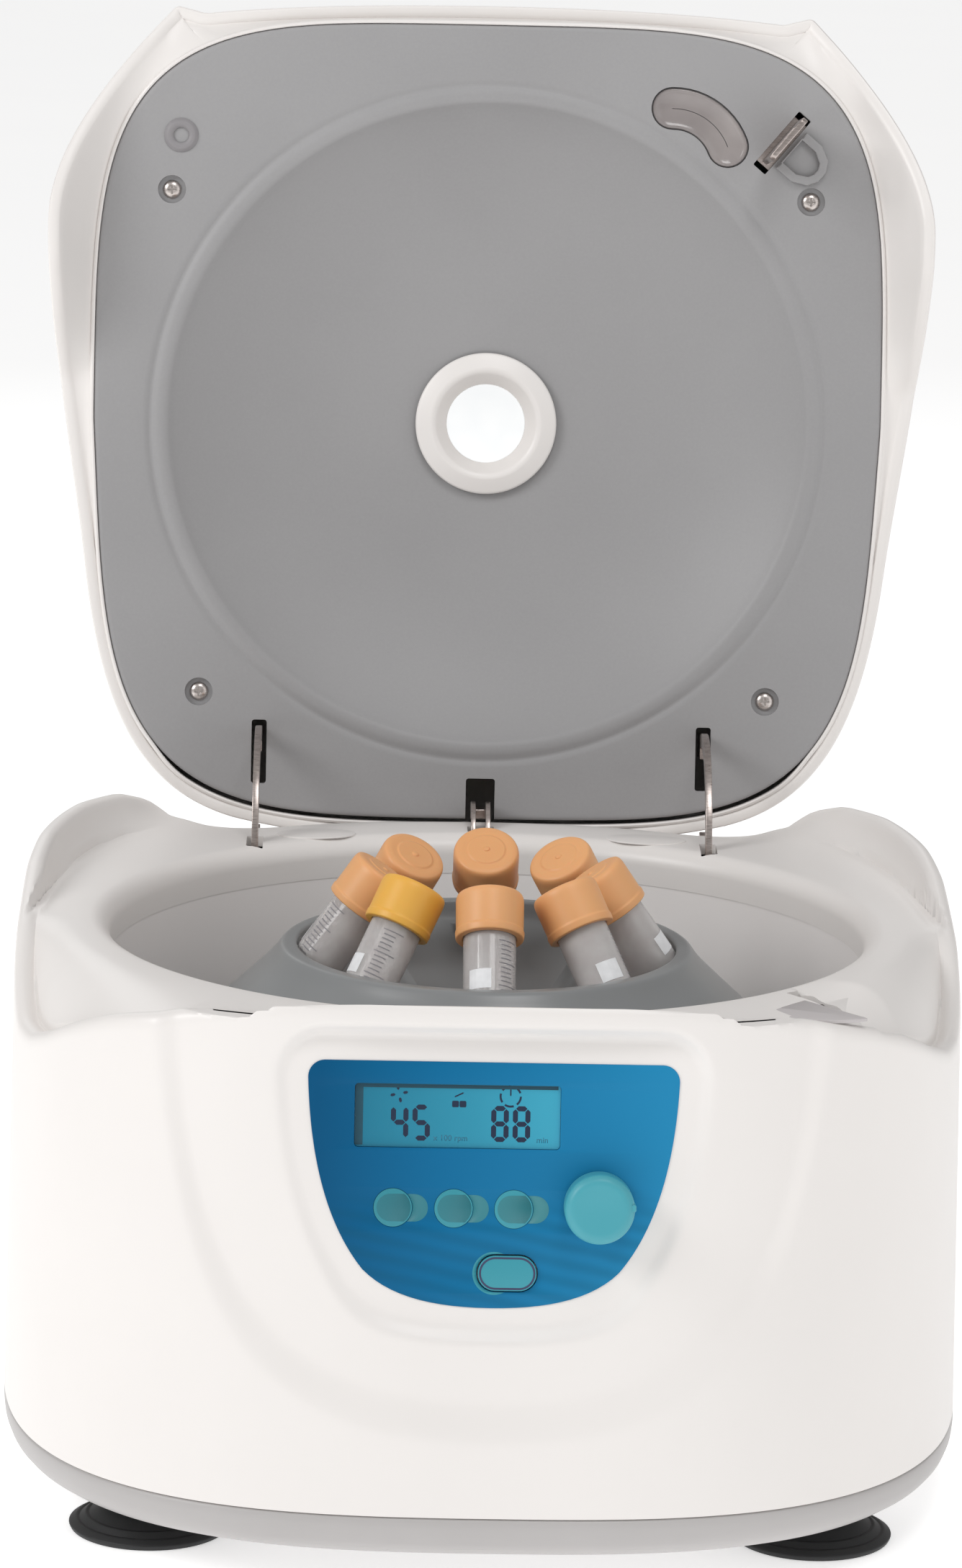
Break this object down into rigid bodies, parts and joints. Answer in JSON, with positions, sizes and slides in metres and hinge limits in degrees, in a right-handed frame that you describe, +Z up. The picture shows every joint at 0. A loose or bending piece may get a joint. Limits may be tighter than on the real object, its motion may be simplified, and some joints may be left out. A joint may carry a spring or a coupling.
{
  "type": "laboratory centrifuge",
  "caption": "Benchtop laboratory centrifuge with its hinged lid open, angled rotor loaded with capped tubes, round chamber and front control panel.",
  "frame": {"origin": "middle of the footprint of the whole machine with its lid open, on the bench surface", "axes": "+Z up, +X to the right seen from the front, the control panel faces -Y"},
  "size_m": [0.303, 0.3974, 0.4456],
  "materials": {
    "housing": "injection-moulded warm white ABS, satin gloss",
    "tray": "moulded grey ABS, satin",
    "bowl": "smooth white moulded chamber liner",
    "liner": "moulded grey ABS with fine metallic fleck",
    "rotor": "grey moulded rotor, satin",
    "rubber_black": "black moulded rubber",
    "steel": "bright zinc-plated steel",
    "motor": "dark painted motor housing",
    "panel_blue": "printed blue membrane with a left-to-right gradient",
    "button_teal": "moulded teal plastic",
    "lcd": "clear window over a blue-lit display",
    "board": "green circuit board",
    "cap_orange": "moulded orange polyethylene cap",
    "tube_clear": "translucent polypropylene tube with printed graduations",
    "lens": "clear acrylic sight glass",
    "inlet_black": "black moulded nylon",
    "supply": "folded aluminium can"
  },
  "bodies": {
    "root": {"housing": "housing", "base_tray": "tray", "chamber_bowl": "bowl", "shaft_gaiter": "rubber_black", "motor_body": "motor", "motor_plate": "steel", "control_panel": "panel_blue", "lcd_window": "lcd", "lcd_module": "board", "encoder": "steel", "control_board": "board", "latch_plate": "liner", "latch_body": "steel", "hinge_shaft": "steel", "hinge_bracket_left": "steel", "hinge_bracket_right": "steel", "lid_spring": "steel", "power_supply": "supply", "power_inlet": "inlet_black", "foot_front_left": "rubber_black", "foot_front_right": "rubber_black", "foot_rear_left": "rubber_black", "foot_rear_right": "rubber_black", "motor_mount_1": "rubber_black", "motor_mount_2": "rubber_black", "motor_mount_3": "rubber_black"},
    "lid": {"lid_shell": "housing", "lid_liner": "liner", "window_frame": "housing", "window_lens": "lens", "lid_bumper": "liner", "sensor_cover": "liner", "striker": "steel", "striker_guard": "liner", "lid_arm_left": "steel", "lid_arm_right": "steel", "lid_arm_centre": "steel", "lid_screw_1": "steel", "lid_screw_2": "steel", "lid_screw_3": "steel", "lid_screw_4": "steel"},
    "rotor": {"motor_shaft": "steel", "rotor_body": "rotor", "rotor_nut": "rubber_black", "tube_1": "cap_orange", "tube_2": "cap_orange", "tube_3": "cap_orange", "tube_4": "cap_orange", "tube_5": "cap_orange", "tube_6": "cap_orange", "tube_7": "cap_orange", "tube_8": "cap_orange"},
    "knob": {"knob": "button_teal"},
    "speed_button": {"speed_button": "button_teal"},
    "time_button": {"time_button": "button_teal"},
    "mode_button": {"mode_button": "button_teal"},
    "start_button": {"start_button": "button_teal"},
    "latch_bolt": {"latch_bolt": "steel"},
    "power_switch": {"power_switch": "inlet_black"}
  },
  "joints": [
    {"name": "lid_hinge", "type": "hinge", "parent": "root", "child": "lid", "pos_m": [0, 0.10825, 0.1645], "axis": [1, 0, 0], "range_deg": [0, 98]},
    {"name": "rotor_spin", "type": "hinge", "parent": "root", "child": "rotor", "pos_m": [0, -0.03275, 0.0693], "axis": [0, 0, 1], "continuous": true},
    {"name": "knob_turn", "type": "hinge", "parent": "root", "child": "knob", "pos_m": [0.0316, -0.18013, 0.11878], "axis": [0, -0.9863, 0.165], "continuous": true},
    {"name": "speed_button_press", "type": "slide", "parent": "root", "child": "speed_button", "axis": [0, 0.9863, -0.165], "range_m": [0, 0.0008], "stiffness_N_per_m": 800},
    {"name": "time_button_press", "type": "slide", "parent": "root", "child": "time_button", "axis": [0, 0.9863, -0.165], "range_m": [0, 0.0008], "stiffness_N_per_m": 800},
    {"name": "mode_button_press", "type": "slide", "parent": "root", "child": "mode_button", "axis": [0, 0.9863, -0.165], "range_m": [0, 0.0008], "stiffness_N_per_m": 800},
    {"name": "start_button_press", "type": "slide", "parent": "root", "child": "start_button", "axis": [0, 0.9863, -0.165], "range_m": [0, 0.0008], "stiffness_N_per_m": 800},
    {"name": "latch_bolt_slide", "type": "slide", "parent": "root", "child": "latch_bolt", "axis": [-0.766, -0.6428, 0], "range_m": [0, 0.005], "stiffness_N_per_m": 300},
    {"name": "power_switch_rock", "type": "hinge", "parent": "root", "child": "power_switch", "pos_m": [0.063, 0.13925, 0.082], "axis": [1, 0, 0], "range_deg": [0, 14]}
  ]
}
